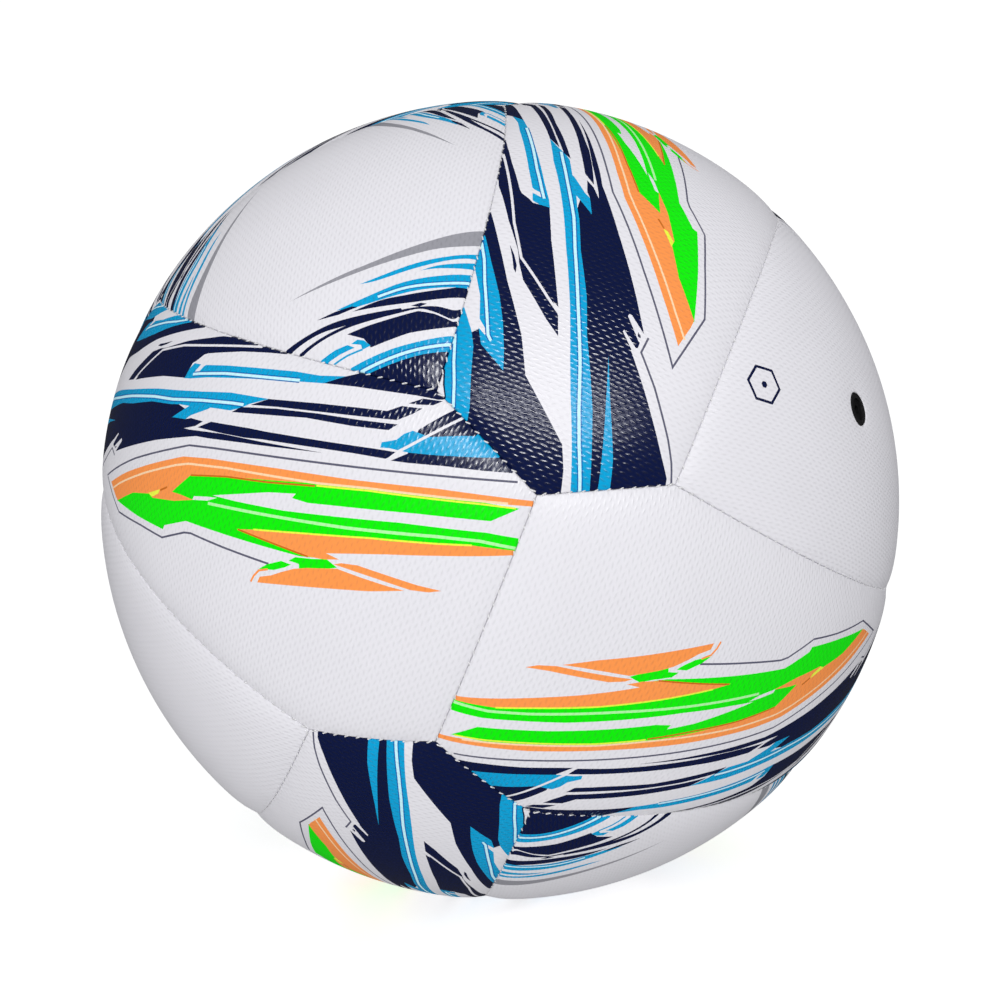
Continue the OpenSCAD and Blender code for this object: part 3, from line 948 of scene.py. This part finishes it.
def cloth_material(name, warp, weft, count):
    """A plain weave in two yarn colours."""
    n = Nodes(name)
    place = n.place()
    yarns = []
    for direction in ("X", "Y", "Z"):
        made = n.node("ShaderNodeTexWave", {"Vector": place, "Scale": count, "Distortion": 0.6},
                      bands_direction=direction)
        yarns.append(made.outputs["Fac"])
    cross = n.maths("MULTIPLY", n.maths("ADD", yarns[0], n.maths("ADD", yarns[1], yarns[2])), 0.33)
    n.bump(cross, 0.00015)
    fluff = n.noise(3000)
    return n.surface(Base_Color=n.mixed(n.maths("MULTIPLY", cross, fluff), rgba(warp), rgba(weft)),
                     Roughness=n.between(fluff, 0.8, 0.98))


def latex_material():
    """Black latex with a dusty bloom."""
    n = Nodes("latex")
    bloom = n.noise(120, 6.0)
    n.bump(n.noise(900), 0.00008)
    return n.surface(Base_Color=n.mixed(bloom, rgba(srgb(22, 22, 25)), rgba(srgb(62, 61, 62))),
                     Roughness=n.between(bloom, 0.35, 0.7))


def rubber_material(name, dark, light, roughness):
    """Moulded black rubber, matt, with a fine grain."""
    n = Nodes(name)
    speck = n.noise(1800, 4.0)
    n.bump(speck, 0.00006)
    return n.surface(Base_Color=n.mixed(speck, rgba(dark), rgba(light)),
                     Roughness=n.between(speck, roughness, roughness + 0.2),
                     Specular_IOR_Level=0.3)


INK_MATERIALS = [ink_material(name, *INKS[name]) for name in INK_NAMES] + [back_material()]


# ---- the cover ----


def long_spot(wide, towards):
    """Axes of the long panel whose wide end points along wide and its tip along towards."""
    side = np.cross(towards, wide)
    place = np.array([wide, side, towards]).T
    return POSED @ place @ LONG_AXES.T


def triangle_spot(*signs):
    """Axes of the triangle whose middle has these signs. It points up its corner nearest to Z."""
    k = np.array(signs, float)
    out = unit(k)
    up = unit(corner * k - out * (out @ (corner * k)))
    return POSED @ np.array([np.cross(up, out), up, out]).T


LONG_SKIN = Skin(LONG, long_print())
PRINTED_SKIN = Skin(TRIANGLE, triangle_print())
PLAIN_SKIN = Skin(TRIANGLE, [])
VALVE_SKIN = Skin(TRIANGLE, valve_mark(), has_hole=True)
WEAVE_TURN = {LONG_SKIN: 0, PRINTED_SKIN: 60, PLAIN_SKIN: 60, VALVE_SKIN: 60}

PANELS = {
    "long_panel_front_upper": (LONG_SKIN, long_spot(X, Z)),
    "long_panel_front_left": (LONG_SKIN, long_spot(Z, Y)),
    "long_panel_front_right": (LONG_SKIN, long_spot(Z, -Y)),
    "long_panel_bottom_front": (LONG_SKIN, long_spot(-X, Z)),
    "long_panel_top_left": (LONG_SKIN, long_spot(Y, X)),
    "long_panel_top_rear": (LONG_SKIN, long_spot(X, -Z)),
    "long_panel_left_lower": (LONG_SKIN, long_spot(Y, -X)),
    "long_panel_right_upper": (LONG_SKIN, long_spot(-Y, X)),
    "long_panel_bottom_right": (LONG_SKIN, long_spot(-Y, -X)),
    "long_panel_rear_left": (LONG_SKIN, long_spot(-Z, Y)),
    "long_panel_rear_right": (LONG_SKIN, long_spot(-Z, -Y)),
    "long_panel_rear_lower": (LONG_SKIN, long_spot(-X, -Z)),
    "printed_triangle_front_upper_left": (PRINTED_SKIN, triangle_spot(1, 1, 1)),
    "printed_triangle_bottom_front": (PRINTED_SKIN, triangle_spot(-1, -1, 1)),
    "printed_triangle_right_rear": (PRINTED_SKIN, triangle_spot(1, -1, -1)),
    "printed_triangle_rear_left": (PRINTED_SKIN, triangle_spot(-1, 1, -1)),
    "plain_triangle_left_lower": (PLAIN_SKIN, triangle_spot(-1, 1, 1)),
    "plain_triangle_top_rear": (PLAIN_SKIN, triangle_spot(1, 1, -1)),
    "plain_triangle_rear_lower": (PLAIN_SKIN, triangle_spot(-1, -1, -1)),
    "valve_triangle_front_right": (VALVE_SKIN, triangle_spot(1, -1, 1)),
}


def added(name, data):
    """A new object in the scene."""
    made = bpy.data.objects.new(name, data)
    bpy.context.scene.collection.objects.link(made)
    return made


def piece(name, node, points, faces):
    """A mesh object that stands for a CAD node."""
    mesh = bpy.data.meshes.new(name)
    mesh.from_pydata([tuple(p) for p in np.asarray(points) * MM], [], faces)
    mesh.polygons.foreach_set("use_smooth", [True] * len(mesh.polygons))
    made = added(name, mesh)
    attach(made, "root")
    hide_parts(node)
    return made


def cover_panel(node, skin, axes):
    points, bends, flat, faces, inks = skin.tidied()
    made = piece("cover_" + node, node,
                 points @ axes.T, faces)
    mesh = made.data
    used = sorted(set(inks))
    for k in used:
        mesh.materials.append(INK_MATERIALS[k])
    number = {k: i for i, k in enumerate(used)}
    mesh.polygons.foreach_set("material_index", [number[k] for k in inks])
    corners = np.zeros(len(mesh.loops), np.int32)
    mesh.loops.foreach_get("vertex_index", corners)
    layer = mesh.uv_layers.new(name=PANEL_MAP)
    layer.data.foreach_set("uv", turned(flat, WEAVE_TURN[skin])[corners].astype(np.float32).ravel())
    bends = bends / np.linalg.norm(bends, axis=1)[:, None] @ axes.T
    mesh.normals_split_custom_set_from_vertices([tuple(b) for b in bends])


for node_name, (panel_skin, panel_axes) in PANELS.items():
    cover_panel(node_name, panel_skin, panel_axes)


# ---- stitches ----

THREAD_R = 0.17
STITCH_REACH = 0.38  # how far each side of the seam a stitch goes under, mm
STITCH_SLANT = 1.5  # how far it moves along the seam on the way, mm
STITCH_DEPTH = 0.085  # how far below the panels' edges its middle lies
STITCH_ENDS = 0.45  # how much lower its ends lie
STITCH_RINGS = 9
TUBE_SIDES = 6


def stitch(at, across, along):
    """Points of one thread tube over the seam, from under one panel to under the other."""
    out = unit(at)
    edge = BALL_R - PILLOW - SHOULDER
    path = []
    for share in np.linspace(-1, 1, STITCH_RINGS):
        drop = STITCH_DEPTH + STITCH_ENDS * share**4
        shift = across * share * STITCH_REACH + along * share * STITCH_SLANT / 2
        path.append(unit(out * BALL_R + shift) * (edge - drop))
    path = np.array(path)
    ahead = np.gradient(path, axis=0)
    ahead /= np.linalg.norm(ahead, axis=1)[:, None]
    side = np.cross(ahead, out)
    side /= np.linalg.norm(side, axis=1)[:, None]
    up = np.cross(side, ahead)
    turn = np.arange(TUBE_SIDES) * math.tau / TUBE_SIDES
    return path[:, None] + THREAD_R * (
        np.cos(turn)[None, :, None] * side[:, None] + np.sin(turn)[None, :, None] * up[:, None])


def tube_faces(start):
    """Faces of a closed tube whose first place has that index."""
    found = [tuple(start + i for i in range(TUBE_SIDES)),
             tuple(start + (STITCH_RINGS - 1) * TUBE_SIDES + i for i in reversed(range(TUBE_SIDES)))]
    for r in range(STITCH_RINGS - 1):
        for i in range(TUBE_SIDES):
            j = (i + 1) % TUBE_SIDES
            low, high = start + r * TUBE_SIDES, start + (r + 1) * TUBE_SIDES
            found.append((low + i, high + i, high + j, low + j))
    return found


def seam_stitches():
    """Every seam's stitches as one piece. Each seam belongs to two panels and is sewn once."""
    points, faces, sewn = [], [], set()
    for skin, axes in PANELS.values():
        for centre, ahead, side, turn in skin.outline.runs:
            middle = axes @ (centre + math.cos(turn / 2) * ahead + math.sin(turn / 2) * side)
            key = tuple(np.round(middle, 2) + 0.0)
            if key in sewn:
                continue
            sewn.add(key)
            count = stitch_count(ahead, turn)
            for i in range(count):
                t = (i + 0.5) * turn / count
                at = centre + math.cos(t) * ahead + math.sin(t) * side
                along = unit(math.cos(t) * side - math.sin(t) * ahead)
                rings = stitch(at, np.cross(at, along), along) @ axes.T
                faces += tube_faces(len(points))
                points += list(rings.reshape(-1, 3))
    made = piece("seam_stitches", "seam_thread", points, faces)
    made.data.materials.append(thread_material())


seam_stitches()


# ---- CAD nodes that stay ----


def dress(prefix, material):
    for name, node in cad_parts.items():
        if name.startswith(prefix):
            node.data.materials.clear()
            node.data.materials.append(material)


dress("foam_", foam_material())
dress("lining_", cloth_material("lining_cloth", srgb(196, 190, 176), srgb(226, 222, 212), 420.0))
dress("valve_patch", cloth_material("patch_cloth", srgb(120, 122, 126), srgb(168, 169, 172), 500.0))
dress("bladder", latex_material())
dress("valve_housing", rubber_material("valve_rubber", srgb(14, 14, 16), srgb(34, 33, 36), 0.5))
dress("needle_plug", rubber_material("plug_rubber", srgb(8, 8, 9), srgb(22, 21, 24), 0.4))


# ---- floor, light and camera ----

FLOOR_HALF = 3.0
FLOOR_GLOW = 0.61
# Ray kind and the white world's strength for it. The first is for all rays that no other row names.
WORLD_STRENGTHS = [("", 0.04), ("Is Diffuse Ray", 0.63), ("Is Camera Ray", 1.05)]
# Name, azimuth and elevation in degrees, distance in metres, (width, height), watts, glints.
LAMPS = [
    ("key", 2, 23, 0.9, (0.4, 0.4), 3.0, False),
    ("strip", 9, 21, 0.9, (0.75, 0.15), 6.0, True),
    ("fill", -30, -45, 1.2, (0.9, 0.9), 2.4, False),
]
CAMERA_DISTANCE = 2.637 * BALL_R * MM
CAMERA_AZIMUTH, CAMERA_ELEVATION = 0.594, 0.265
LENS, SENSOR = 35.1, 36.0


def pale_floor():
    """A pale table top. It lets the light from below through to the ball and casts none on it."""
    half, low = FLOOR_HALF, CAD_BOX[0].z
    mesh = bpy.data.meshes.new("floor")
    mesh.from_pydata([(-half, -half, low), (half, -half, low), (half, half, low), (-half, half, low)],
                     [], [(0, 1, 2, 3)])
    floor = added("floor", mesh)
    n = Nodes("pale_floor")
    mottle = n.noise(8.0)
    n.surface(Base_Color=n.mixed(mottle, (0.67, 0.67, 0.67, 1), (0.7, 0.7, 0.7, 1)), Roughness=0.9,
              Specular_IOR_Level=0.0, Emission_Color=(1, 1, 1, 1), Emission_Strength=FLOOR_GLOW)
    mesh.materials.append(n.material)
    floor.visible_diffuse = False
    floor.visible_glossy = False
    floor.visible_shadow = False


def white_world():
    """White behind the object, an even light on it, and a dark studio in its reflections."""
    world = bpy.data.worlds.new("studio")
    bpy.context.scene.world = world
    world.use_nodes = True
    tree = world.node_tree
    tree.nodes.clear()
    path = tree.nodes.new("ShaderNodeLightPath")
    shader = None
    for ray, strength in WORLD_STRENGTHS:
        background = tree.nodes.new("ShaderNodeBackground")
        background.inputs["Strength"].default_value = strength
        background.inputs["Color"].default_value = (1, 1, 1, 1)
        if shader:
            mix = tree.nodes.new("ShaderNodeMixShader")
            tree.links.new(path.outputs[ray], mix.inputs[0])
            tree.links.new(shader.outputs[0], mix.inputs[1])
            tree.links.new(background.outputs[0], mix.inputs[2])
            shader = mix
        else:
            shader = background
    output = tree.nodes.new("ShaderNodeOutputWorld")
    tree.links.new(shader.outputs[0], output.inputs[0])


def aim(made, azimuth, elevation, distance):
    """Puts a lamp or camera there, facing the ball. Azimuth 0 is the viewer's side and 90 the right."""
    a, e = math.radians(azimuth), math.radians(elevation)
    back = Vector((math.sin(a) * math.cos(e), -math.cos(a) * math.cos(e), math.sin(e)))
    made.location = back * distance
    made.rotation_euler = (-back).to_track_quat("-Z", "Y").to_euler()


def softbox(name, azimuth, elevation, distance, size, power, glints):
    """A rectangular lamp that makes the ball's glints only, or lights it without making any."""
    data = bpy.data.lights.new(name, "AREA")
    data.shape = "RECTANGLE"
    data.size, data.size_y = size
    data.energy = power
    lamp = added(name, data)
    aim(lamp, azimuth, elevation, distance)
    lamp.visible_glossy = glints
    lamp.visible_diffuse = not glints


def camera():
    data = bpy.data.cameras.new("camera")
    data.lens = LENS
    data.sensor_width = SENSOR
    data.clip_start = 0.01
    made = added("camera", data)
    aim(made, CAMERA_AZIMUTH, CAMERA_ELEVATION, CAMERA_DISTANCE)
    bpy.context.scene.camera = made


pale_floor()
white_world()
for settings in LAMPS:
    softbox(*settings)
camera()
bpy.context.scene.view_settings.view_transform = "Standard"
